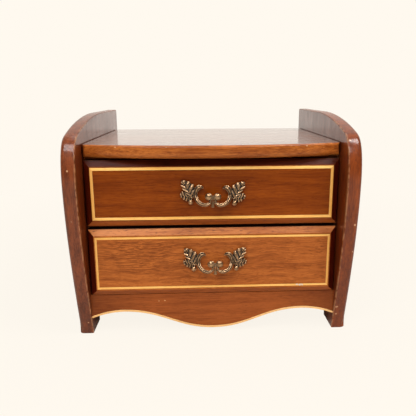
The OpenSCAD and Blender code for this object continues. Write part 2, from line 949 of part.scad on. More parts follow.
// The cast pull, seen from the front: X to the right, Z up from the middle of the volutes, Y inwards.
// The left half is drawn and mirrored.
post_z = 4;
post_cover = 0.8;
leaf_x = post_pitch / 2;

// Each leaf has a middle vein and two edges, drawn from the root to the tip about the fixing post
upper_vein = [[5, -4.5], [3.4, -2.2], [1, 1.4], [-2.2, 6.6], [-6, 12.2]];
upper_inner = [[6.8, -2.5], [7.2, 3.2], [5, 8.4], [-0.2, 11.8], [-5.5, 12.8]];
upper_outer = [[4.5, -5.5], [-0.4, -1], [-4.4, 3.8], [-6.8, 8.2], [-6.7, 11.9]];
lower_vein = [[4, -4.9], [2, -4.5], [-0.5, -4], [-3.9, -3.3], [-7.4, -2.4]];
lower_inner = [[3.6, -2.6], [0.8, -0.5], [-2.6, 1.3], [-6.1, 1], [-7.8, -1.8]];
lower_outer = [[4.4, -7], [1.8, -8], [-1.4, -7.6], [-4.8, -5.9], [-7.5, -3.2]];
dome_r = 38;
rib_rise = 0.35;
rib_cut = 1;
scallop = 0.09;
vein_cut = 0.7;
edge_drop = 0.5;
leaf_edge_t = 0.7;
leaf_step = 0.7;
hole_rib_share = 0.35;
fade_l = 4;
leaf_steps = 5;
rib_rows = 4;
vein_side = 0.25;
leaf_columns = [-1, -0.65, -vein_side, 0, vein_side, 0.65, 1];

// Points of a smooth open line through the points p, which pass through every one of them
function open_spline(p, n) = concat([for (i = [0:len(p) - 2], j = [0:n - 1])
    let (k = len(p) - 1, t = j / n, a = p[max(i - 1, 0)], b = p[i], c = p[i + 1], d = p[min(i + 2, k)])
    b + 0.5 * t * (c - a + t * (2 * a - 5 * b + 4 * c - d + t * (3 * b - a - 3 * c + d)))],
    [p[len(p) - 1]]);

// Thickness of a leaf at p: a dome over the post, with ribs that fade over the threaded hole
function leaf_height(p, wave, column) = let (d = norm(p),
        fade = min(1, max(hole_rib_share, (d - pull_screw_r) / fade_l)),
        rib = wave > 0 ? wave * rib_rise : wave * rib_cut * fade,
        vein = vein_cut * fade * max(0, 1 - abs(column) / vein_side),
        edge = edge_drop * pow(max(0, (abs(column) - vein_side) / (1 - vein_side)), 2))
    max(leaf_edge_t, leaf_crown - d * d / (2 * dome_r) + rib - vein - edge);

// A leaf whose ribs run from the vein to the edges and end in lobes
module veined_leaf(vein, inner, outer, lift) {
    middle = open_spline(vein, leaf_steps);
    near = open_spline(inner, leaf_steps);
    far = open_spline(outer, leaf_steps);
    rings = [for (i = [0:len(middle) - 1])
        let (wave = -cos(360 * i / rib_rows), reach = 1 + scallop * wave,
            near_edge = middle[i] + reach * (near[i] - middle[i]),
            far_edge = middle[i] + reach * (far[i] - middle[i]),
            row = [for (c = leaf_columns)
                let (p = middle[i] + abs(c) * ((c < 0 ? near_edge : far_edge) - middle[i]))
                [p[0], -lift - leaf_height(p, wave, c), p[1]]])
        concat(row, [[far_edge[0], -lift, far_edge[1]], [near_edge[0], -lift, near_edge[1]]])];
    skin(rings, [mean(rings[0]), mean(rings[len(rings) - 1])]);
}

// The arm runs from the tip of its hook down past the leaves, out to the middle and round the volute
arm_path = [[-8.9, -3.6, 9], [-10.4, -3.8, 10.3], [-12.9, -3.9, 10.7], [-15.3, -4, 9], [-16.6, -4.2, 5.2],
    [-16.3, -5.6, 1], [-14, -8, -2.9], [-9.8, 1.6 - pull_reach, -4.9], [-5.6, -pull_reach, -4.7],
    [-2.7, -pull_reach, -3]];
arm_share = [0.18, 0.7, 1.2, 1.22, 1.05, 1, 1, 0.97, 0.88, 0.66];
arm_steps = 2;
arm_flat = 0.85;
reeds = 5;
reed_cut = 0.36;
reed_corners = 20;

// The volute is the end of the arm, coiled round a button, with a disc behind it
volute_at = [-4.1, -pull_reach, 2.9];
volute_start = -52;
volute_turn = 320;
volute_core = 1.9;
coil_r = 1;
coil_end_r = 0.5;
coil_rise = 0.6;
coil_rings = 16;
button_r = 1.5;
disc_t = 1.6;
disc_lap = 0.3;
bridge_t = 1.2;
coil_start = volute_r - coil_r;
coil = [for (i = [0:coil_rings])
    let (f = i / coil_rings, a = volute_start + volute_turn * f,
        r = coil_start + (volute_core - coil_start) * f)
    volute_at + [r * cos(a), -coil_rise * f, r * sin(a)]];
coil_share = [for (i = [0:coil_rings]) (coil_r + (coil_end_r - coil_r) * i / coil_rings) / arm_r];

module scroll_arm() {
    line = concat(open_spline(arm_path, arm_steps), coil);
    share = concat([for (s = open_spline([for (s = arm_share) [s]], arm_steps)) s[0]], coil_share);
    last = len(line) - 1;
    rings = [for (i = [0:last])
        let (d = unit(line[min(i + 1, last)] - line[max(i - 1, 0)]),
            across = unit(cross(d, [0, 1, 0])),
            outward = cross(d, across))
        [for (j = [0:reed_corners - 1])
            let (a = 360 * j / reed_corners, reed = 1 - reed_cut * (1 - abs(cos(a * reeds / 2))))
            line[i] + arm_r * share[i] * reed * (sin(a) * across + arm_flat * cos(a) * outward)]];
    skin(rings, [line[0], line[last]]);
}

module volute_middle() {
    translate(volute_at)
        rotate([90, 0, 0]) {
            translate([0, 0, -disc_t])
                cylinder(h = disc_t + disc_lap, r = coil_start);
            sphere(r = button_r);
        }
}

// A round berry with a hollow face and a bead in the hollow
berry_at = [2.8, -8.5];
berry_sunk = 0.7;
hollow_share = 0.7;
hollow_off = 1.25;
bead_share = 0.28;
bead_off = 0.55;

module berry() {
    translate([berry_at[0], -leaf_standoff - berry_r * berry_sunk, berry_at[1]]) {
        difference() {
            sphere(r = berry_r);
            translate([0, -berry_r * hollow_off, 0])
                sphere(r = berry_r * hollow_share);
        }
        translate([0, -berry_r * bead_off, 0])
            sphere(r = berry_r * bead_share);
    }
}

// Drop between the two volutes, flared at its foot
stem_r = 0.6;
pendant_r = 1.9;
pendant_low = -7.2;

module pendant() {
    translate([0, -pull_reach, 0])
        rotate_extrude()
            polygon([[0, pendant_low], [pendant_r * 0.7, pendant_low], [pendant_r, pendant_low + 0.7],
                [pendant_r * 0.6, -3], [stem_r, -0.2], [stem_r, volute_at[2]], [0, volute_at[2]]]);
}

// A post widens towards the drawer front, and its head closes the threaded hole inside the leaves
module post() {
    head = post_hole_d + post_cover;
    translate([0, -head, 0])
        rotate([-90, 0, 0])
            cylinder(h = head, r1 = pull_screw_r + post_cover, r2 = post_r);
}

module half_pull() {
    translate([-leaf_x, 0, post_z]) {
        veined_leaf(upper_vein, upper_inner, upper_outer, leaf_standoff);
        veined_leaf(lower_vein, lower_inner, lower_outer, leaf_standoff - leaf_step);
        post();
        berry();
    }
    scroll_arm();
    volute_middle();
}

module pull(i) {
    color(antique_brass)
        at_front(i)
            difference() {
                at_pull(i) {
                    half_pull();
                    mirror([1, 0, 0])
                        half_pull();
                    pendant();
                    translate([0, -pull_reach, volute_at[2]])
                        box(-coil_start, coil_start, 0, bridge_t, -bridge_t, bridge_t);
                }
                at_posts(i)
                    rotate([90, 0, 0])
                        translate([0, 0, -1])
                            cylinder(h = post_hole_d + 1, r = pull_screw_r + hair);
            }
}

module upper_drawer_front() {
    drawer_front(1);
}

module upper_string_top() {
    string_strip(1, "top");
}

module upper_string_bottom() {
    string_strip(1, "bottom");
}

module upper_string_left() {
    string_strip(1, "left");
}

module upper_string_right() {
    string_strip(1, "right");
}

module upper_drawer_side_left() {
    drawer_side(1, -1);
}

module upper_drawer_side_right() {
    drawer_side(1, 1);
}

module upper_drawer_back() {
    drawer_back(1);
}

module upper_drawer_bottom() {
    drawer_bottom(1);
}

module upper_drawer_lining() {
    drawer_lining(1);
}

module upper_drawer_divider() {
    below_rim = 6;
    low = bottom_z(1) + bottom_t + lining_t;
    color(velvet)
        box(-divider_t / 2, divider_t / 2, front_back_y + fit_gap, box_back_y - drawer_t - fit_gap,
            low, ceiling_z[1] - headroom - below_rim);
}

module upper_pull() {
    pull(1);
}

module upper_pull_screws() {
    pull_screws(1);
}

module lower_drawer_front() {
    drawer_front(0);
}

module lower_string_top() {
    string_strip(0, "top");
}

module lower_string_bottom() {
    string_strip(0, "bottom");
}

module lower_string_left() {
    string_strip(0, "left");
}

module lower_string_right() {
    string_strip(0, "right");
}

module lower_drawer_side_left() {
    drawer_side(0, -1);
}

module lower_drawer_side_right() {
    drawer_side(0, 1);
}

module lower_drawer_back() {
    drawer_back(0);
}

module lower_drawer_bottom() {
    drawer_bottom(0);
}

module lower_drawer_lining() {
    drawer_lining(0);
}

module lower_pull() {
    pull(0);
}

module lower_pull_screws() {
    pull_screws(0);
}

side_panel_left();
side_panel_right();
back_panel();
base_board();
dust_board();
tray_floor();
tray_front_rail();
tray_cleat_left();
tray_cleat_right();
apron();
apron_edging();
glue_blocks();
drawer_stops();
tray_lining();
tray_divider_left();
tray_divider_right();
tray_cross_dividers();
ring_rolls();
hinge_lower_leaf_left();
hinge_lower_leaf_right();
hinge_pins();
lower_leaf_screws();
back_panel_screws();
lid_board();
mirror_backing();
mirror_glass();
mirror_bead_front();
mirror_bead_back();
mirror_bead_left();
mirror_bead_right();
hinge_upper_leaf_left();
hinge_upper_leaf_right();
upper_leaf_screws();
lid_bumpers();
upper_drawer_front();
upper_string_top();
upper_string_bottom();
upper_string_left();
upper_string_right();
upper_drawer_side_left();
upper_drawer_side_right();
upper_drawer_back();
upper_drawer_bottom();
upper_drawer_lining();
upper_drawer_divider();
upper_pull();
upper_pull_screws();
lower_drawer_front();
lower_string_top();
lower_string_bottom();
lower_string_left();
lower_string_right();
lower_drawer_side_left();
lower_drawer_side_right();
lower_drawer_back();
lower_drawer_bottom();
lower_drawer_lining();
lower_pull();
lower_pull_screws();
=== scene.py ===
import json
import math

import bmesh
import bpy
from mathutils import Matrix, Vector, noise


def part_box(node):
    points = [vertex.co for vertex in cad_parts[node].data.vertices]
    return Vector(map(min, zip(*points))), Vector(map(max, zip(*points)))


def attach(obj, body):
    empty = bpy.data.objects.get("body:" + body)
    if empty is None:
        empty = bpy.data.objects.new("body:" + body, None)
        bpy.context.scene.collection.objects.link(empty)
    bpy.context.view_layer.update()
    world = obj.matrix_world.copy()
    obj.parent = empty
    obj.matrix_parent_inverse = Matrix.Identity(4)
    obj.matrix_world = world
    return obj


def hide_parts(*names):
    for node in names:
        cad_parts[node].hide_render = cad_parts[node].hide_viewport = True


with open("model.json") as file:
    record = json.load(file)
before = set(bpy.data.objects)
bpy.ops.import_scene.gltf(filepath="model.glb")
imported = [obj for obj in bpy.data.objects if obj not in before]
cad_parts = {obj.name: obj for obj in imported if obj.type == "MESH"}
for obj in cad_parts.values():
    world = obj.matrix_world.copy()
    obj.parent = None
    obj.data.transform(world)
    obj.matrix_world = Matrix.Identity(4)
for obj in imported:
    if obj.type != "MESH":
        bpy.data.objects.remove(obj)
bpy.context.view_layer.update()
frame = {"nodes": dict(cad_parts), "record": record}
nodes = frame["nodes"]
body_of = {node: body for body, members in frame["record"]["behaviour"]["bodies"].items() for node in members}
MM = 0.001


# Camera: the photograph's own place, tilt and focal length in its pixels, with the eye in millimetres

PHOTO_WIDTH = 416
SENSOR_WIDTH = 36
FOCAL_LENGTH = 450
OPTICAL_CENTRE = (217.93, 192.89)
EYE = Vector((-11.54, -515.36, 242.50))
PITCH = 0.21443
YAW = -0.03854
ROLL = 0.00454


def set_camera():
    turn = Matrix.Rotation(-YAW, 3, "Z")
    tilt = Matrix.Rotation(PITCH, 3, "X")
    lean = Matrix.Rotation(-ROLL, 3, "Y")
    right, ahead, up = lean @ tilt @ turn
    lens = bpy.data.cameras.new("photo_camera")
    lens.lens = SENSOR_WIDTH * FOCAL_LENGTH / PHOTO_WIDTH
    lens.sensor_width = SENSOR_WIDTH
    lens.shift_x = (PHOTO_WIDTH / 2 - OPTICAL_CENTRE[0]) / PHOTO_WIDTH
    lens.shift_y = (OPTICAL_CENTRE[1] - PHOTO_WIDTH / 2) / PHOTO_WIDTH
    lens.clip_start = 0.01
    camera = bpy.data.objects.new("photo_camera", lens)
    bpy.context.scene.collection.objects.link(camera)
    camera.matrix_world = Matrix.Translation(EYE * MM) @ Matrix((right, up, -ahead)).transposed().to_4x4()
    bpy.context.scene.camera = camera


set_camera()
bpy.context.scene.view_settings.view_transform = "Standard"


# Materials

def linear(code):
    channels = [int(code[i:i + 2], 16) / 255 for i in (1, 3, 5)]
    return tuple(c / 12.92 if c <= 0.04045 else ((c + 0.055) / 1.055) ** 2.4 for c in channels) + (1.0,)


def add(tree, kind, sockets=None, **settings):
    """Adds a node with its settings; a socket takes a number, a colour or another node's output."""
    node = tree.nodes.new(kind)
    for name, value in settings.items():
        setattr(node, name, value)
    for name, value in (sockets or {}).items():
        if isinstance(value, bpy.types.NodeSocket):
            tree.links.new(value, node.inputs[name])
        else:
            node.inputs[name].default_value = value
    return node


def new_material(name):
    material = bpy.data.materials.new(name)
    material.use_nodes = True
    material.node_tree.nodes.clear()
    return material, material.node_tree


def per_metre(millimetres):
    return 1000 / millimetres


# Fibres and figure run about twenty times as far along the board as across it, an open pore about
# twelve times and a worn speck about three times
ALONG_BOARD = {"X": (0.05, 1, 1), "Y": (1, 0.05, 1), "Z": (1, 1, 0.05)}
ALONG_PORE = {"X": (0.08, 1, 1), "Y": (1, 0.08, 1), "Z": (1, 1, 0.08)}
ALONG_SPECK = {"X": (0.3, 1, 1), "Y": (1, 0.3, 1), "Z": (1, 1, 0.3)}
# How deep the grain can be felt, in millimetres
GRAIN_DEPTH = 0.12


def in_metres(millimetres):
    return tuple(c * MM for c in millimetres)


def board_figure(tree, place, grain, figure, sway):
    """Bands of figure, fine streaks and open pores along the grain, each from 0 to 1."""
    drift = add(tree, "ShaderNodeTexNoise", {"Vector": place, "Scale": per_metre(38), "Detail": 2.0})
    swayed = add(tree, "ShaderNodeVectorMath", {0: drift.outputs["Color"], 1: (sway * MM,) * 3, 2: place},
                 operation="MULTIPLY_ADD").outputs[0]
    board = add(tree, "ShaderNodeMapping", {"Vector": swayed, "Scale": ALONG_BOARD[grain]}).outputs[0]
    bands = add(tree, "ShaderNodeTexNoise", {"Vector": board, "Scale": per_metre(figure), "Detail": 5.0,
                                             "Roughness": 0.6}).outputs["Fac"]
    # Mahogany's streaks are about half a millimetre wide; they are drawn at 0.9 mm so that they show
    streaks = add(tree, "ShaderNodeTexNoise", {"Vector": board, "Scale": per_metre(0.9), "Detail": 4.0,
                                               "Roughness": 0.65}).outputs["Fac"]
    # Open pores are about 0.2 mm wide and 2 to 5 mm long; they are drawn at 0.5 mm so that they show
    dashes = add(tree, "ShaderNodeMapping", {"Vector": swayed, "Scale": ALONG_PORE[grain]}).outputs[0]
    pores = add(tree, "ShaderNodeTexNoise", {"Vector": dashes, "Scale": per_metre(0.5),
                                             "Detail": 1.0}).outputs["Fac"]
    pores = add(tree, "ShaderNodeMapRange", {"Value": pores, "From Min": 0.58, "From Max": 0.72},
                interpolation_type="SMOOTHSTEP").outputs["Result"]
    return bands, streaks, pores


def streaks_near(tree, place, streaks, middle, reach, share):
    """How strongly the streaks darken round one place of a board; middle and reach in millimetres."""
    away = add(tree, "ShaderNodeVectorMath", {0: place, 1: in_metres(middle)},
               operation="SUBTRACT").outputs[0]
    away = add(tree, "ShaderNodeVectorMath", {0: away, 1: in_metres(reach)}, operation="DIVIDE").outputs[0]
    away = add(tree, "ShaderNodeVectorMath", {0: away}, operation="LENGTH").outputs["Value"]
    near = add(tree, "ShaderNodeMapRange", {"Value": away, "From Min": 1.0, "From Max": 0.3, "To Max": share},
               interpolation_type="SMOOTHSTEP").outputs["Result"]
    lines = add(tree, "ShaderNodeMapRange", {"Value": streaks, "From Min": 0.58, "From Max": 0.42},
                interpolation_type="SMOOTHSTEP").outputs["Result"]
    return add(tree, "ShaderNodeMath", {0: near, 1: lines}, operation="MULTIPLY").outputs[0]


def shade_painted_at_ends(tree, place, begin, end, share):
    """How much painted shade darkens a board: none up to begin, fully from end, in millimetres from the
    middle.
    """
    along = add(tree, "ShaderNodeSeparateXYZ", {0: place}).outputs["X"]
    along = add(tree, "ShaderNodeMath", {0: along}, operation="ABSOLUTE").outputs[0]
    return add(tree, "ShaderNodeMapRange", {"Value": along, "From Min": begin * MM, "From Max": end * MM,
                                            "To Max": share},
               interpolation_type="SMOOTHSTEP").outputs["Result"]


def rubbed_arris(tree, place):
    """Where the lacquer is rubbed along the arrises that the piece's own attribute marks."""
    rub = add(tree, "ShaderNodeTexNoise", {"Vector": place, "Scale": per_metre(5),
                                           "Detail": 4.0}).outputs["Fac"]
    rub = add(tree, "ShaderNodeMapRange", {"Value": rub, "From Min": 0.38, "From Max": 0.56},
              interpolation_type="SMOOTHSTEP").outputs["Result"]
    arris = add(tree, "ShaderNodeAttribute", attribute_name="arris").outputs["Fac"]
    return add(tree, "ShaderNodeMath", {0: rub, 1: arris}, operation="MULTIPLY").outputs[0]


def worn_specks(tree, place, grain, amount):
    """Small flecks of bare wood, gathered in patches."""
    stretched = add(tree, "ShaderNodeMapping", {"Vector": place, "Scale": ALONG_SPECK[grain]}).outputs[0]
    fleck = add(tree, "ShaderNodeTexNoise", {"Vector": stretched, "Scale": per_metre(0.9), "Detail": 4.0,
                                             "Roughness": 0.7}).outputs["Fac"]
    fleck = add(tree, "ShaderNodeMapRange", {"Value": fleck, "From Min": 0.70 - amount,
                                             "From Max": 0.74 - amount}).outputs["Result"]
    patch = add(tree, "ShaderNodeTexNoise", {"Vector": place, "Scale": per_metre(17),
                                             "Detail": 2.0}).outputs["Fac"]
    patch = add(tree, "ShaderNodeMapRange", {"Value": patch, "From Min": 0.50,
                                             "From Max": 0.60}).outputs["Result"]
    return add(tree, "ShaderNodeMath", {0: fleck, 1: patch}, operation="MULTIPLY").outputs[0]


def add_nicks(tree, place, nicks, bareness):
    """The share of bare wood with ragged nicks in it; each nick is a spot and its reach in millimetres."""
    ragged = add(tree, "ShaderNodeTexNoise", {"Vector": place, "Scale": per_metre(1.6),
                                              "Detail": 3.0}).outputs["Fac"]
    for spot, reach in nicks:
        gap = add(tree, "ShaderNodeVectorMath", {0: place, 1: in_metres(spot)},
                  operation="DISTANCE").outputs["Value"]
        gap = add(tree, "ShaderNodeMath", {0: ragged, 1: reach * 2.2 * MM, 2: gap},
                  operation="MULTIPLY_ADD").outputs[0]
        nick = add(tree, "ShaderNodeMapRange", {"Value": gap, "From Min": reach * 1.9 * MM,
                                                "From Max": reach * 1.6 * MM}).outputs["Result"]
        bareness = add(tree, "ShaderNodeMath", {0: nick, 1: bareness}, operation="MAXIMUM").outputs[0]
    return bareness


def timber(name, grain, pale, deep, pore, figure, roughness, specular, sway=2, pore_share=0.5, lacquer=0.0,
           lacquer_roughness=0.14, lacquer_ior=1.5, film_sink=0.1, film_gap=0.0, painted_end_shade=None,
           streaked=None, worn=None, nicks=(), specks=0.0, bare="#DDAE74"):
    """Wood with bands of figure, fine streaks and short open pores along its grain; sizes in millimetres.

    The lacquer sinks into the pores by film_sink and is thinner over the deep bands by film_gap. Worn is the
    colour of rubbed arrises, and bare is that of the nicks and specks.
    """
    material, tree = new_material(name)
    place = add(tree, "ShaderNodeTexCoord").outputs["Object"]
    bands, streaks, pores = board_figure(tree, place, grain, figure, sway)
    cloud = add(tree, "ShaderNodeTexNoise", {"Vector": place, "Scale": per_metre(55),
                                             "Detail": 3.0}).outputs["Fac"]
    tone = add(tree, "ShaderNodeMath", {0: bands, 1: 0.5, 2: -0.11}, operation="MULTIPLY_ADD").outputs[0]
    tone = add(tree, "ShaderNodeMath", {0: streaks, 1: 0.5, 2: tone}, operation="MULTIPLY_ADD").outputs[0]
    tone = add(tree, "ShaderNodeMath", {0: cloud, 1: 0.22, 2: tone}, operation="MULTIPLY_ADD").outputs[0]
    tone = add(tree, "ShaderNodeMapRange", {"Value": tone, "From Min": 0.36, "From Max": 0.64},
               interpolation_type="SMOOTHSTEP").outputs["Result"]
    colour = add(tree, "ShaderNodeMix", {0: tone, 6: linear(deep), 7: linear(pale)},
                 data_type="RGBA").outputs[2]
    filled = add(tree, "ShaderNodeMath", {0: pores, 1: pore_share}, operation="MULTIPLY").outputs[0]
    colour = add(tree, "ShaderNodeMix", {0: filled, 6: colour, 7: linear(pore)}, data_type="RGBA").outputs[2]
    if streaked:
        near = streaks_near(tree, place, streaks, *streaked)
        colour = add(tree, "ShaderNodeMix", {0: near, 6: colour, 7: linear(pore)},
                     data_type="RGBA").outputs[2]
    # Painted shade, darkening the board towards its ends
    if painted_end_shade:
        ends_in_shade = shade_painted_at_ends(tree, place, *painted_end_shade)
        colour = add(tree, "ShaderNodeMix", {0: ends_in_shade, 6: colour, 7: linear(pore)},
                     data_type="RGBA").outputs[2]
    if worn:
        rub = rubbed_arris(tree, place)
        colour = add(tree, "ShaderNodeMix", {0: rub, 6: colour, 7: linear(worn)}, data_type="RGBA").outputs[2]
    polish = add(tree, "ShaderNodeMapRange", {"Value": cloud, "From Min": 0.3, "From Max": 0.7,
                                              "To Min": roughness - 0.04,
                                              "To Max": roughness + 0.04}).outputs["Result"]
    if nicks:
        bareness = worn_specks(tree, place, grain, specks) if specks else 0.0
        bareness = add_nicks(tree, place, nicks, bareness)
        colour = add(tree, "ShaderNodeMix", {0: bareness, 6: colour, 7: linear(bare)},
                     data_type="RGBA").outputs[2]
        polish = add(tree, "ShaderNodeMath", {0: bareness, 1: 0.4, 2: polish},
                     operation="MULTIPLY_ADD").outputs[0]
    height = add(tree, "ShaderNodeMath", {0: streaks, 1: 0.5}, operation="MULTIPLY").outputs[0]
    height = add(tree, "ShaderNodeMath", {0: height, 1: pores}, operation="SUBTRACT").outputs[0]
    bump = add(tree, "ShaderNodeBump", {"Height": height, "Strength": 0.22,
                                        "Distance": GRAIN_DEPTH * MM}).outputs[0]
    film_weight = lacquer
    if film_gap:
        film_weight = add(tree, "ShaderNodeMapRange", {"Value": tone, "To Min": lacquer * (1 - film_gap),
                                                       "To Max": lacquer}).outputs["Result"]
    # The lacquer sinks a little into the pores, so the grain also shows in its reflections
    film = add(tree, "ShaderNodeBump", {"Height": height, "Strength": film_sink,
                                        "Distance": GRAIN_DEPTH * MM}).outputs[0]
    shader = add(tree, "ShaderNodeBsdfPrincipled", {"Base Color": colour, "Roughness": polish,
                                                    "Normal": bump, "IOR": 1.5,
                                                    "Specular IOR Level": specular,
                                                    "Coat Weight": film_weight,
                                                    "Coat Roughness": lacquer_roughness,
                                                    "Coat IOR": lacquer_ior, "Coat Normal": film})
    add(tree, "ShaderNodeOutputMaterial", {"Surface": shader.outputs[0]})
    return material


def rolled_metal(name, bright, dull, roughness):
    """Rolled or drawn metal with a slightly uneven tone and polish."""
    material, tree = new_material(name)
    place = add(tree, "ShaderNodeTexCoord").outputs["Object"]
    cloud = add(tree, "ShaderNodeTexNoise", {"Vector": place, "Scale": per_metre(1.2), "Detail": 4.0})
    share = add(tree, "ShaderNodeMapRange", {"Value": cloud.outputs["Fac"], "From Min": 0.35,
                                             "From Max": 0.65},
                interpolation_type="SMOOTHSTEP").outputs["Result"]
    colour = add(tree, "ShaderNodeMix", {0: share, 6: linear(dull), 7: linear(bright)},
                 data_type="RGBA").outputs[2]
    polish = add(tree, "ShaderNodeMapRange", {"Value": share, "To Min": roughness + 0.08,
                                              "To Max": roughness - 0.05}).outputs["Result"]
    bump = add(tree, "ShaderNodeBump", {"Height": share, "Strength": 0.15, "Distance": 0.05 * MM}).outputs[0]
    shader = add(tree, "ShaderNodeBsdfPrincipled", {"Base Color": colour, "Metallic": 1.0,
                                                    "Roughness": polish, "Normal": bump})
    add(tree, "ShaderNodeOutputMaterial", {"Surface": shader.outputs[0]})
    return material


def antique_cast_brass():
    """Cast brass with dark wax left in its hollows and its ribs rubbed bright."""
    material, tree = new_material("antique_cast_brass")
    place = add(tree, "ShaderNodeTexCoord").outputs["Object"]
    hollow = add(tree, "ShaderNodeAttribute", attribute_name="hollow").outputs["Fac"]
    cloud = add(tree, "ShaderNodeTexNoise", {"Vector": place, "Scale": per_metre(2.5),
                                             "Detail": 4.0}).outputs["Fac"]
    grit = add(tree, "ShaderNodeTexNoise", {"Vector": place, "Scale": per_metre(0.4),
                                            "Detail": 2.0}).outputs["Fac"]
    share = add(tree, "ShaderNodeMapRange", {"Value": cloud, "From Min": 0.35, "From Max": 0.65},
                interpolation_type="SMOOTHSTEP").outputs["Result"]
    metal = add(tree, "ShaderNodeMix", {0: share, 6: linear("#8A6C4E"), 7: linear("#BC9670")},
                data_type="RGBA").outputs[2]
    depth = add(tree, "ShaderNodeMath", {0: cloud, 1: 0.12, 2: hollow}, operation="MULTIPLY_ADD").outputs[0]
    wax = add(tree, "ShaderNodeMapRange", {"Value": depth, "From Min": 0.46, "From Max": 0.62},
              interpolation_type="SMOOTHSTEP").outputs["Result"]
    colour = add(tree, "ShaderNodeMix", {0: wax, 6: metal, 7: linear("#150B06")}, data_type="RGBA").outputs[2]
    metallic = add(tree, "ShaderNodeMath", {0: wax, 1: -0.7, 2: 1.0}, operation="MULTIPLY_ADD").outputs[0]
    polish = add(tree, "ShaderNodeMath", {0: wax, 1: 0.35, 2: 0.3}, operation="MULTIPLY_ADD").outputs[0]
    bump = add(tree, "ShaderNodeBump", {"Height": grit, "Strength": 0.08, "Distance": 0.03 * MM}).outputs[0]
    shader = add(tree, "ShaderNodeBsdfPrincipled", {"Base Color": colour, "Metallic": metallic,
                                                    "Roughness": polish, "Normal": bump})
    add(tree, "ShaderNodeOutputMaterial", {"Surface": shader.outputs[0]})
    return material


def pile_cloth(name, light, shade, tint, fibre=0.5):
    """Short pile: a deep colour, a soft sheen at grazing angles and faint brushed patches."""
    material, tree = new_material(name)
    place = add(tree, "ShaderNodeTexCoord").outputs["Object"]
    brushed = add(tree, "ShaderNodeTexNoise", {"Vector": place, "Scale": per_metre(14),
                                               "Detail": 3.0}).outputs["Fac"]
    # Pile tufts are about 0.2 mm apart; they are drawn at half a millimetre so that they show
    pile = add(tree, "ShaderNodeTexNoise", {"Vector": place, "Scale": per_metre(fibre),
                                            "Detail": 2.0}).outputs["Fac"]
    share = add(tree, "ShaderNodeMapRange", {"Value": brushed, "From Min": 0.35, "From Max": 0.65},
                interpolation_type="SMOOTHSTEP").outputs["Result"]
    colour = add(tree, "ShaderNodeMix", {0: share, 6: linear(shade), 7: linear(light)},
                 data_type="RGBA").outputs[2]
    bump = add(tree, "ShaderNodeBump", {"Height": pile, "Strength": 0.6, "Distance": 0.25 * MM}).outputs[0]
    shader = add(tree, "ShaderNodeBsdfPrincipled", {
        "Base Color": colour, "Roughness": 0.9, "Specular IOR Level": 0.15, "Sheen Weight": 0.6,
        "Sheen Roughness": 0.4, "Sheen Tint": linear(tint), "Normal": bump})
    add(tree, "ShaderNodeOutputMaterial", {"Surface": shader.outputs[0]})
    return material


def silvered_glass():
    """Mirror glass: sharp, faintly green-grey, with the silver a little clouded towards its edges."""
    material, tree = new_material("silvered_glass")
    place = add(tree, "ShaderNodeTexCoord").outputs["Object"]
    rim = add(tree, "ShaderNodeAttribute", attribute_name="rim").outputs["Fac"]
    bloom = add(tree, "ShaderNodeTexNoise", {"Vector": place, "Scale": per_metre(6),
                                             "Detail": 5.0}).outputs["Fac"]
    bloom = add(tree, "ShaderNodeMath", {0: rim, 1: 0.35, 2: bloom}, operation="MULTIPLY_ADD").outputs[0]
    clouded = add(tree, "ShaderNodeMapRange", {"Value": bloom, "From Min": 0.70, "From Max": 0.95},
                  interpolation_type="SMOOTHSTEP").outputs["Result"]
    colour = add(tree, "ShaderNodeMix", {0: clouded, 6: linear("#E6ECEA"), 7: linear("#8E8F88")},
                 data_type="RGBA").outputs[2]
    polish = add(tree, "ShaderNodeMath", {0: clouded, 1: 0.25, 2: 0.015}, operation="MULTIPLY_ADD").outputs[0]
    shader = add(tree, "ShaderNodeBsdfPrincipled", {"Base Color": colour, "Metallic": 1.0,
                                                    "Roughness": polish})
    add(tree, "ShaderNodeOutputMaterial", {"Surface": shader.outputs[0]})
    return material


# Nicks through the lacquer to bare wood: spot and reach in millimetres
RIGHT_PANEL_NICKS = (((127.4, -101.7, 201.0), 1.1), ((134.9, -107.8, 120.6), 1.3),
                     ((131.9, -109.4, 146.0), 1.0), ((128.3, -86.7, 18.0), 1.2),
                     ((127.6, -89.6, 26.8), 1.8), ((136.0, -103.0, 92.0), 0.9))
LEFT_PANEL_NICKS = (((-138.1, -91.3, 45.1), 1.3), ((-132.0, -109.5, 128.0), 1.2),
                    ((-129.0, -86.0, 14.0), 1.0), ((-127.0, -104.0, 100.0), 0.8),
                    ((-131.5, -110.6, 176.0), 1.1), ((-134.0, -109.0, 168.0), 0.9))
STRING_NICKS = (((85.5, -89.5, 52.8), 1.4), ((88.0, -89.5, 52.6), 1.4), ((90.4, -89.5, 52.8), 1.3))
NOSE_NICKS = (((-90.9, -94.0, 195.4), 0.55), ((-43.1, -101.2, 195.8), 0.45), ((74.2, -97.2, 195.6), 0.4),
              ((89.1, -94.4, 195.2), 0.6))
APRON_NICKS = (((-56.0, -85.5, 36.0), 0.6), ((-50.0, -85.5, 36.4), 0.6))

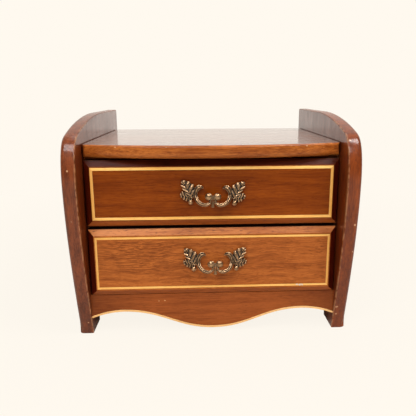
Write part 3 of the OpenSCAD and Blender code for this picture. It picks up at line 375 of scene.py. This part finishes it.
# Lacquered mahogany: red-brown with dark open pores under a satin film. The side panels' grain stands
# upright, their faces are polished, and their rounded edges are duller and rubbed.
PANEL_PORE = "#2A0E04"
PANEL_WORN = "#B07E58"
panel_face_wood = timber("polished_mahogany_panel_face", "Z", "#80360E", "#521D05", PANEL_PORE, figure=3,
                         roughness=0.45, specular=0.3, lacquer=1.0, lacquer_roughness=0.14, lacquer_ior=1.6,
                         film_sink=0.2, film_gap=0.6, worn=PANEL_WORN)
left_edge_wood = timber("rubbed_mahogany_left_edge", "Z", "#7E3C1A", "#542309", PANEL_PORE, figure=5,
                        roughness=0.45, specular=0.15, lacquer=0.45, lacquer_roughness=0.12, worn=PANEL_WORN,
                        nicks=LEFT_PANEL_NICKS, specks=0.03, bare="#B88A64")
right_edge_wood = timber("rubbed_mahogany_right_edge", "Z", "#843A0A", "#582103", PANEL_PORE, figure=5,
                         roughness=0.45, specular=0.15, lacquer=0.45, lacquer_roughness=0.12, worn=PANEL_WORN,
                         nicks=RIGHT_PANEL_NICKS, specks=0.01, bare="#C09068")
# The lid's top is polished to a higher gloss than its nose, and the arris between them is rubbed in specks
lid_top_wood = timber("polished_mahogany_lid_top", "X", "#8A4416", "#5E2A0C", "#34140A", figure=5,
                      roughness=0.3, specular=0.5, lacquer=1.0, lacquer_roughness=0.07, lacquer_ior=1.7,
                      film_sink=0.16, film_gap=0.15, worn="#D8A468")
lid_nose_wood = timber("polished_mahogany_lid_nose", "X", "#B46628", "#7C3A10", "#3C1405", figure=4,
                       roughness=0.34, specular=0.1, lacquer=0.22, lacquer_roughness=0.1, worn="#E0B47C",
                       nicks=NOSE_NICKS, bare="#E8BC88")
# The drawer fronts: the upper one is plain and dark, the lower one paler with a patch of dark swaying streaks
upper_field_wood = timber("lacquered_mahogany_upper_front", "X", "#863E08", "#682A02", "#451804", figure=8,
                          roughness=0.36, specular=0.1)
lower_field_wood = timber("lacquered_mahogany_lower_front", "X", "#B0622A", "#804018", "#5C2A10", figure=4,
                          sway=9, pore_share=0.55, roughness=0.38, specular=0.1,
                          streaked=((-74, -89.5, 86), (66, 40, 28), 0.55))
# The chamfers round the fronts: copies of one moulding with painted light and shade for each slope
# Painted shade: the upper front's top chamfer, dark where the lid's shadow falls on it
upper_top_moulding_painted_shade = timber("lacquered_mahogany_upper_top_moulding_painted_shade", "X", "#4C1A08", "#340E03", "#1C0802",
                            figure=5, roughness=0.34, specular=0.1, worn="#8A5028")
moulding_wood = timber("lacquered_mahogany_moulding", "X", "#A0521C", "#7C3A10", "#3A1505", figure=5,
                       roughness=0.34, specular=0.2, worn="#B07038")
# Painted light: the lower front's top chamfer, paler because it faces up into the light
lower_top_moulding_painted_light = timber("lacquered_mahogany_lower_top_moulding_painted_light", "X", "#BE743A", "#985020", "#4E220C",
                            figure=5, pore_share=0.9, roughness=0.38, specular=0.2, worn="#C88850")
# Painted shade: the side chamfers, darker because they face away from the light; also on the tray cleats and
# the mirror's side beads
side_moulding_painted_shade = timber("lacquered_mahogany_side_moulding_painted_shade", "Z", "#541604", "#3A0A02", "#200802",
                            figure=6, roughness=0.34, specular=0.08)
# Painted shade darkens the apron towards its ends, where the side panels stand forward of it and shade it
apron_wood = timber("lacquered_mahogany_apron", "X", "#9C5224", "#7E3D19", "#4A1E0C", figure=9,
                    pore_share=0.4, roughness=0.4, specular=0.1, painted_end_shade=(50, 125, 0.42),
                    nicks=APRON_NICKS)
# Painted shade on the thin edges of the fronts, dark so that the gaps round them read as shadow lines
front_edge_wood_painted_shade = timber("front_edge_painted_shade", "X", "#2E160C", "#1E0C06", "#100602", figure=5, roughness=0.7,
                         specular=0.1)
# Stained carcass boards behind the fronts: matt and darker
carcass_wood = timber("stained_carcass_board", "X", "#6E3A1C", "#552A12", "#2A1006", figure=9, roughness=0.6,
                      specular=0.3)
# Unfinished beech of the drawer boxes: pale and dry
drawer_wood = timber("unfinished_beech", "Y", "#C9A071", "#B08657", "#7E5B38", figure=8, pore_share=0.35,
                     roughness=0.65, specular=0.25)
drawer_wood_across = timber("unfinished_beech_across", "X", "#C9A071", "#B08657", "#7E5B38", figure=8,
                            pore_share=0.35, roughness=0.65, specular=0.25)
# Boxwood stringing: butter yellow under lacquer
boxwood = timber("boxwood_stringing", "X", "#F2BC6A", "#DEA24E", "#A86C2C", figure=4, pore_share=0.3,
                 roughness=0.36, specular=0.2, nicks=STRING_NICKS, bare="#CFC2B6")
# A lighter copy with painted light, for the upper front's top string, which stays lit just below the lid's
# shadow
boxwood_painted_light = timber("boxwood_stringing_painted_light", "X", "#FFCE7C", "#F0B45C", "#A86C2C", figure=4,
                       pore_share=0.3, roughness=0.36, specular=0.2)
boxwood_upright = timber("boxwood_stringing_upright", "Z", "#E8AC5C", "#D49644", "#A86C2C", figure=4,
                         pore_share=0.3, roughness=0.36, specular=0.2)
boxwood_edging = timber("boxwood_edging", "X", "#F0C082", "#E0AA66", "#B07C40", figure=4, pore_share=0.2,
                        roughness=0.4, specular=0.2)
cast_brass = antique_cast_brass()
# Rolled brass of the hinges and their screws
satin_brass = rolled_metal("satin_brass", "#D8B46C", "#B8924C", 0.3)
# Zinc plated steel of the pins and hidden screws
zinc_steel = rolled_metal("zinc_plated_steel", "#C9CBCE", "#A4A7AB", 0.35)
mirror_silver = silvered_glass()
# Wine red cotton velvet of the linings, rolls and padded dividers
velvet = pile_cloth("wine_red_velvet", "#7A1626", "#5A0C18", "#F0B8B8")
# Brown wool felt of the bumpers
felt = pile_cloth("brown_wool_felt", "#4A3226", "#3A261C", "#D8C0B0", fibre=0.8)
# Grey board behind the mirror glass: pressed fibres, hardly any grain
card = timber("grey_board", "X", "#8C8478", "#7C7468", "#6A6258", figure=3, pore_share=0.2, roughness=0.85,
              specular=0.2)


# Pieces

def finish_piece(name, bm, node, materials, smooth_angle=50):
    """Puts a finished shape in the scene, on the CAD body of the node that it stands for."""
    for face in bm.faces:
        face.smooth = True
    mesh = bpy.data.meshes.new(name)
    bm.to_mesh(mesh)
    bm.free()
    mesh.set_sharp_from_angle(angle=math.radians(smooth_angle))
    for material in materials:
        mesh.materials.append(material)
    piece = bpy.data.objects.new(name, mesh)
    bpy.context.scene.collection.objects.link(piece)
    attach(piece, body_of[node])
    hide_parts(node)
    return piece


def keep_flats_flat(piece):
    """Shades each flat face flat right up to its broken edges."""
    piece.modifiers.new("flat_faces_stay_flat", "WEIGHTED_NORMAL").keep_sharp = True


def merged_copy(node):
    """The node's own mesh with its loose triangles joined and its flat faces made whole."""
    bm = bmesh.new()
    bm.from_mesh(nodes[node].data)
    bmesh.ops.remove_doubles(bm, verts=bm.verts, dist=0.001 * MM)
    bmesh.ops.dissolve_limit(bm, angle_limit=math.radians(0.5), verts=bm.verts, edges=bm.edges)
    return bm


def ease_edges(bm, ease, sharp=28):
    """Breaks the sharp edges as sandpaper does, and marks their middle line for wear."""
    arris = bm.verts.layers.float.new("arris")
    edges = [e for e in bm.edges if e.is_manifold and e.calc_face_angle() > math.radians(sharp)]
    eased = bmesh.ops.bevel(bm, geom=edges, offset=ease * MM, offset_type="OFFSET", segments=2, profile=0.5,
                            affect="EDGES", clamp_overlap=True, material=-1)
    new_faces = set(eased["faces"])
    for vert in eased["verts"]:
        if vert.is_valid and set(vert.link_faces) <= new_faces:
            vert[arris] = 1.0


# How far a face's normal lies along an axis when the face is square on to it, and when it is sloped
SQUARE_ON = 0.98
SLOPED = 0.3
# Material slots of a drawer front
FIELD, TOP, BOTTOM, SIDES, EDGE = range(5)


def dress(node, material, ease=0.3, sharp=28):
    """A node with its edges broken and its own material."""
    bm = merged_copy(node)
    if ease:
        ease_edges(bm, ease, sharp)
    keep_flats_flat(finish_piece(node + "_dressed", bm, node, [material]))


def front_slot(normal):
    across, _, upward = normal
    if max(abs(across), abs(upward)) > SQUARE_ON:
        return EDGE
    if abs(across) > SLOPED and abs(across) > abs(upward):
        return SIDES
    if abs(upward) > SLOPED:
        return TOP if upward > 0 else BOTTOM
    return FIELD


def dress_front(node, field, top, bottom, sides):
    """A drawer front whose chamfers take lit and shaded copies of one moulding, and whose thin edges carry
    painted shade.
    """
    bm = merged_copy(node)
    ease_edges(bm, 0.3)
    for face in bm.faces:
        face.material_index = front_slot(face.normal)
    # The thin edges take the wood with painted shade
    keep_flats_flat(finish_piece(node + "_dressed", bm, node, [field, top, bottom, sides, front_edge_wood_painted_shade]))


def rub_rim(bm, face, width):
    """Marks a face's rim for wear; the wear fades over the width given."""
    arris = bm.verts.layers.float["arris"]
    rim = list(face.verts)
    bmesh.ops.inset_region(bm, faces=[face], thickness=width * MM, use_even_offset=True)
    for vert in rim:
        vert[arris] = 1.0
    for vert in face.verts:
        vert[arris] = 0.0


# The rubbed stretch of a side panel's inner arris: how far out and how far back it reaches, in millimetres
# from the box's middle, and how strongly it is rubbed
RUBBED_UP_TO_X = 125.6
RUBBED_UP_TO_Y = -60
FRONT_RUB = 0.6


def dress_panel(node, edge_wood, inward):
    """A side panel, rubbed along the arris between its inner face and its rounded front."""
    bm = merged_copy(node)
    ease_edges(bm, 0.4)
    inner_face = max(bm.faces, key=lambda face: face.normal.x * inward * face.calc_area())
    rub_rim(bm, inner_face, 1.6)
    arris = bm.verts.layers.float["arris"]
    inside = set(inner_face.verts)
    for vert in bm.verts:
        if abs(vert.co.x) < RUBBED_UP_TO_X * MM and vert.co.y < RUBBED_UP_TO_Y * MM and vert not in inside:
            vert[arris] = FRONT_RUB
    for face in bm.faces:
        face.material_index = 0 if abs(face.normal.x) > SQUARE_ON else 1
    keep_flats_flat(finish_piece(node + "_dressed", bm, node, [panel_face_wood, edge_wood]))


def dress_lid():
    """The lid board: its polished top, and its nose and underside in the quieter finish."""
    bm = merged_copy("lid_board")
    ease_edges(bm, 0.25)
    top = max(bm.faces, key=lambda face: face.normal.z * face.calc_area())
    rub_rim(bm, top, 0.8)
    for face in bm.faces:
        face.material_index = 0 if face.normal.z > SQUARE_ON else 1
    keep_flats_flat(finish_piece("lid_board_dressed", bm, "lid_board", [lid_top_wood, lid_nose_wood]))


# Each node with its material and how far its edges are broken, in millimetres; on metal only edges of more
# than 40 degrees are broken
dress_panel("side_panel_left", left_edge_wood, 1)
dress_panel("side_panel_right", right_edge_wood, -1)
for node in ("back_panel", "base_board", "dust_board", "tray_floor"):
    dress(node, carcass_wood, 0.3)
# The tray cleats take the side moulding with painted shade
for node in ("tray_front_rail", "tray_cleat_left", "tray_cleat_right"):
    dress(node, moulding_wood if "rail" in node else side_moulding_painted_shade, 0.4)
dress("apron", apron_wood, 0.15)
dress("apron_edging", boxwood_edging, 0.25)
dress_lid()
for node in ("glue_blocks", "drawer_stops"):
    dress(node, drawer_wood, 0.3)
for edge in ("front", "back"):
    dress("mirror_bead_" + edge, moulding_wood, 0.15)
# The mirror's side beads take the side moulding with painted shade
for edge in ("left", "right"):
    dress("mirror_bead_" + edge, side_moulding_painted_shade, 0.15)
dress("mirror_backing", card, 0)
# Top chamfers: painted shade on the upper front, painted light on the lower front; side chamfers: painted
# shade
dress_front("upper_drawer_front", upper_field_wood, upper_top_moulding_painted_shade, moulding_wood, side_moulding_painted_shade)
dress_front("lower_drawer_front", lower_field_wood, lower_top_moulding_painted_light, moulding_wood, side_moulding_painted_shade)
for drawer in ("upper", "lower"):
    # The upper front's top string takes the boxwood with painted light
    dress(drawer + "_string_top", boxwood_painted_light if drawer == "upper" else boxwood, 0.08)
    dress(drawer + "_string_bottom", boxwood, 0.08)
    for edge in ("left", "right"):
        dress(f"{drawer}_string_{edge}", boxwood_upright, 0.08)
        dress(f"{drawer}_drawer_side_{edge}", drawer_wood, 0.4)
    dress(drawer + "_drawer_back", drawer_wood_across, 0.4)
    dress(drawer + "_drawer_bottom", drawer_wood_across, 0)
for side in ("left", "right"):
    dress("hinge_lower_leaf_" + side, satin_brass, 0.12, 40)
    dress("hinge_upper_leaf_" + side, satin_brass, 0.12, 40)
for node in ("lower_leaf_screws", "upper_leaf_screws"):
    dress(node, satin_brass, 0.08, 40)
for node in ("hinge_pins", "back_panel_screws", "upper_pull_screws", "lower_pull_screws"):
    dress(node, zinc_steel, 0.08, 40)
dress("lid_bumpers", felt, 0.2)


# Mirror: ground edges, and a band along its rim where old silver clouds first

CLOUDED_RIM = 6


def make_mirror():
    bm = merged_copy("mirror_glass")
    ease_edges(bm, 0.5)
    face_down = min(bm.faces, key=lambda face: face.normal.z * face.calc_area())
    bmesh.ops.inset_region(bm, faces=[face_down], thickness=CLOUDED_RIM * MM, use_even_offset=True)
    rim = bm.verts.layers.float.new("rim")
    inside = set(face_down.verts)
    for vert in bm.verts:
        vert[rim] = 0.0 if vert in inside else 1.0
    finish_piece("mirror_glass_silvered", bm, "mirror_glass", [mirror_silver])


make_mirror()


# Velvet linings: card covered with velvet, its edges soft and its face not quite flat

# Size of the cells that let the face dip, the deepest dip in millimetres, and the waves in a metre
VELVET_CELL = 9
VELVET_DIP = 0.12
VELVET_WAVES = 60


def let_dip(bm, waves, deepest):
    """Lets a soft surface sink unevenly, so that it is nowhere quite flat."""
    for vert in bm.verts:
        wave = noise.noise(vert.co * waves) * 0.5 + 0.5
        vert.co -= vert.normal * wave * deepest * MM


def line_with_velvet(node, ease):
    bm = merged_copy(node)
    low, high = (Vector(c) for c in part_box(node))
    bmesh.ops.bevel(bm, geom=list(bm.edges), offset=ease * MM, offset_type="OFFSET", segments=3, profile=0.5,
                    affect="EDGES", clamp_overlap=True, material=-1)
    for axis in range(3):
        normal = Vector([float(axis == i) for i in range(3)])
        steps = int((high[axis] - low[axis]) / (VELVET_CELL * MM))
        for i in range(1, steps):
            place = low + normal * i * (high[axis] - low[axis]) / steps
            bmesh.ops.bisect_plane(bm, geom=bm.verts[:] + bm.edges[:] + bm.faces[:], plane_co=place,
                                   plane_no=normal)
    let_dip(bm, VELVET_WAVES, VELVET_DIP)
    piece = finish_piece(node + "_velvet", bm, node, [velvet], 60)


for node in ("tray_lining", "upper_drawer_lining", "lower_drawer_lining"):
    line_with_velvet(node, 0.5)
for node in ("tray_divider_left", "tray_divider_right", "tray_cross_dividers", "upper_drawer_divider"):
    line_with_velvet(node, 1.4)


# Ring rolls: a row of foam rods under velvet, with eased ends and a little uneven along their length

ROLL_COUNT = 13
ROLL_SIDES = 20
# Share of the row's height that a roll fills, and the ease of its ends in millimetres
ROLL_FILL = 0.99
ROLL_EASE = 1.6
# Cells along a roll that let it dip, the deepest dip in millimetres, and the waves in a metre
ROLL_CELLS = 16
ROLL_DIP = 0.35
ROLL_WAVES = 90


def make_ring_rolls():
    low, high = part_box("ring_rolls")
    pitch = (high.y - low.y) / ROLL_COUNT
    radius = (high.z - low.z) / 2 * ROLL_FILL
    length = high.x - low.x
    rolls = bmesh.new()
    for i in range(ROLL_COUNT):
        centre = Vector(((low.x + high.x) / 2, low.y + pitch * (i + 0.5), (low.z + high.z) / 2))
        verts = bmesh.ops.create_cone(rolls, cap_ends=True, segments=ROLL_SIDES, radius1=radius,
                                      radius2=radius, depth=length)["verts"]
        bmesh.ops.rotate(rolls, verts=verts, cent=(0, 0, 0), matrix=Matrix.Rotation(math.radians(90), 3, "Y"))
        bmesh.ops.translate(rolls, verts=verts, vec=centre)
    ends = [e for e in rolls.edges if e.calc_face_angle() > math.radians(60)]
    bmesh.ops.bevel(rolls, geom=ends, offset=ROLL_EASE * MM, offset_type="OFFSET", segments=3, profile=0.5,
                    affect="EDGES", clamp_overlap=True, material=-1)
    for i in range(1, ROLL_CELLS):
        place = Vector((low.x + length * i / ROLL_CELLS, 0, 0))
        bmesh.ops.bisect_plane(rolls, geom=rolls.verts[:] + rolls.edges[:] + rolls.faces[:], plane_co=place,
                               plane_no=(1, 0, 0))
    let_dip(rolls, ROLL_WAVES, ROLL_DIP)
    piece = finish_piece("ring_rolls_velvet", rolls, "ring_rolls", [velvet], 70)


make_ring_rolls()


# Cast pulls: the casting's pieces melt into one skin, and its hollows are measured for the dark wax

# Middle of each pull on its drawer front, and the slight turn it was screwed on with, in degrees
PULL_SEATS = {"upper_pull": ((-0.3, -89.5, 145.45), 2), "lower_pull": ((1.6, -89.5, 77.95), 0)}
# Balls that fill the volutes and the berries: place beside that middle, and radii, in millimetres
PULL_BALLS = (((4.1, -11.0, 2.9), (3.7, 2.8, 3.7)), ((21.2, -3.3, -4.5), (2.7, 2.6, 2.7)))


def add_balls(bm, node):
    middle, turn = PULL_SEATS[node]
    seat = Matrix.Translation(Vector(middle) * MM) @ Matrix.Rotation(math.radians(turn), 4, "Y")
    for (along, out, up), radii in PULL_BALLS:
        for side in (-1, 1):
            centre = Matrix.Translation(Vector((side * along, out, up)) * MM)
            size = Matrix.Diagonal([radius * MM for radius in radii] + [1])
            bmesh.ops.create_uvsphere(bm, u_segments=32, v_segments=20, radius=1, matrix=seat @ centre @ size)


SKIN_VOXEL = 0.2
EASING_ROUNDS = 6
# Rounds of smoothing, and how strongly a floor that lies under the smoothed skin then counts as hollow:
# first the narrow grooves between the reeds, then the wide ones between the leaf ribs
HOLLOW_PASSES = ((5, 9), (14, 5))


def melt_together(node):
    """The pieces of a pull's casting and its balls as one skin."""
    bm = merged_copy(node)
    add_balls(bm, node)
    pieces = bpy.data.meshes.new(node + "_pieces")
    bm.to_mesh(pieces)
    bm.free()
    rough_cast = bpy.data.objects.new(node + "_rough", pieces)
    bpy.context.scene.collection.objects.link(rough_cast)
    skin = rough_cast.modifiers.new("one_skin", "REMESH")
    skin.mode = "VOXEL"
    skin.voxel_size = SKIN_VOXEL * MM
    cast = bpy.data.meshes.new_from_object(rough_cast.evaluated_get(bpy.context.evaluated_depsgraph_get()))
    bpy.data.objects.remove(rough_cast)
    bm = bmesh.new()
    bm.from_mesh(cast)
    return bm


def smooth(bm, rounds):
    for _ in range(rounds):
        bmesh.ops.smooth_vert(bm, verts=bm.verts, factor=0.5, use_axis_x=True, use_axis_y=True,
                              use_axis_z=True)


def mark_hollows(bm):
    """Smooths the skin for a while to see how far each point lies under it, and puts it back."""
    bm.normal_update()
    here = [vert.co.copy() for vert in bm.verts]
    outward = [vert.normal.copy() for vert in bm.verts]
    hollow = bm.verts.layers.float.new("hollow")
    for rounds, contrast in HOLLOW_PASSES:
        smooth(bm, rounds)
        for vert, start, normal in zip(bm.verts, here, outward):
            rise = (vert.co - start).dot(normal) / MM
            vert[hollow] = max(vert[hollow], min(1.0, 0.5 + rise * contrast))
    for vert, start in zip(bm.verts, here):
        vert.co = start


for node in ("upper_pull", "lower_pull"):
    casting = melt_together(node)
    smooth(casting, EASING_ROUNDS)
    mark_hollows(casting)
    finish_piece(node + "_cast", casting, node, [cast_brass], 80)


# Studio: pale paper that glows for the eye, pale surroundings behind the box for reflections, high soft lamps

BACKGROUND = "#FFF9EF"
PAPER = "#D8D2C8"
AIR = "#FFFAF2"
AIR_STRENGTH = 0.3
FLOOR_SIZE = 6


def make_floor():
    bm = bmesh.new()
    bmesh.ops.create_grid(bm, x_segments=1, y_segments=1, size=FLOOR_SIZE)
    mesh = bpy.data.meshes.new("studio_floor")
    bm.to_mesh(mesh)
    bm.free()
    floor = bpy.data.objects.new("studio_floor", mesh)
    bpy.context.scene.collection.objects.link(floor)
    material, tree = new_material("studio_paper")
    path = add(tree, "ShaderNodeLightPath")
    place = add(tree, "ShaderNodeTexCoord").outputs["Object"]
    away = add(tree, "ShaderNodeVectorMath", {0: place}, operation="LENGTH").outputs["Value"]
    # The paper shows the box's shadow near it and melts into the backdrop further off
    share = add(tree, "ShaderNodeMapRange", {"Value": away, "From Min": 0.2, "From Max": 0.8, "To Min": 0.93},
                interpolation_type="SMOOTHSTEP").outputs["Result"]
    # Reflections see the glowing paper behind the box; in front of it they see plain lit paper
    depth = add(tree, "ShaderNodeSeparateXYZ", {0: place}).outputs["Y"]
    mirrored = add(tree, "ShaderNodeMapRange", {"Value": depth, "From Min": 0.1, "From Max": 0.4},
                   interpolation_type="SMOOTHSTEP").outputs["Result"]
    mirrored = add(tree, "ShaderNodeMath", {0: mirrored, 1: path.outputs["Is Glossy Ray"]},
                   operation="MULTIPLY").outputs[0]
    seen = add(tree, "ShaderNodeMath", {0: path.outputs["Is Camera Ray"], 1: mirrored},
               operation="MAXIMUM").outputs[0]
    share = add(tree, "ShaderNodeMath", {0: share, 1: seen}, operation="MULTIPLY").outputs[0]
    paper = add(tree, "ShaderNodeBsdfDiffuse", {"Color": linear(PAPER)})
    glow = add(tree, "ShaderNodeEmission", {"Color": linear(BACKGROUND), "Strength": 1.0})
    surface = add(tree, "ShaderNodeMixShader", {0: share, 1: paper.outputs[0], 2: glow.outputs[0]})
    add(tree, "ShaderNodeOutputMaterial", {"Surface": surface.outputs[0]})
    mesh.materials.append(material)


def set_world():
    world = bpy.data.worlds.new("studio_air")
    bpy.context.scene.world = world
    world.use_nodes = True
    tree = world.node_tree
    tree.nodes.clear()
    path = add(tree, "ShaderNodeLightPath")
    direction = add(tree, "ShaderNodeTexCoord").outputs["Generated"]
    split = add(tree, "ShaderNodeSeparateXYZ", {0: direction})
    # The room in front of the box is dim, as it is in the photograph's reflections
    behind = add(tree, "ShaderNodeMapRange", {"Value": split.outputs["Y"], "From Min": -0.05,
                                              "From Max": 0.4, "To Min": 0.12},
                 interpolation_type="SMOOTHSTEP").outputs["Result"]
    lit = add(tree, "ShaderNodeBackground", {"Color": linear(AIR), "Strength": AIR_STRENGTH})
    seen = add(tree, "ShaderNodeBackground", {"Color": linear(BACKGROUND), "Strength": 1.0})
    glossy = add(tree, "ShaderNodeBackground", {"Color": linear(BACKGROUND), "Strength": behind})
    surface = add(tree, "ShaderNodeMixShader", {0: path.outputs["Is Glossy Ray"], 1: lit.outputs[0],
                                                2: glossy.outputs[0]})
    surface = add(tree, "ShaderNodeMixShader", {0: path.outputs["Is Camera Ray"], 1: surface.outputs[0],
                                                2: seen.outputs[0]})
    add(tree, "ShaderNodeOutputWorld", {"Surface": surface.outputs[0]})


def add_softbox(name, place, target, width, height, power):
    lamp = bpy.data.lights.new(name, "AREA")
    lamp.shape = "RECTANGLE"
    lamp.size = width
    lamp.size_y = height
    lamp.energy = power
    softbox = bpy.data.objects.new(name, lamp)
    softbox.location = place
    softbox.rotation_euler = (Vector(target) - Vector(place)).to_track_quat("-Z", "Y").to_euler()
    bpy.context.scene.collection.objects.link(softbox)


make_floor()
set_world()
# Place and target in metres, width and height in metres, power in watts
add_softbox("left_softbox", (-0.5, -0.9, 1.2), (0, 0, 0.12), 0.5, 0.5, 9)
add_softbox("right_softbox", (0.62, -0.5, 1.25), (0, 0, 0.12), 0.4, 0.4, 10)
add_softbox("front_fill", (0.1, -1.5, 1.2), (0, 0, 0.1), 1.0, 0.5, 11)
add_softbox("top_softbox", (0.0, 0.25, 1.5), (0, 0, 0.1), 1.0, 1.0, 7)
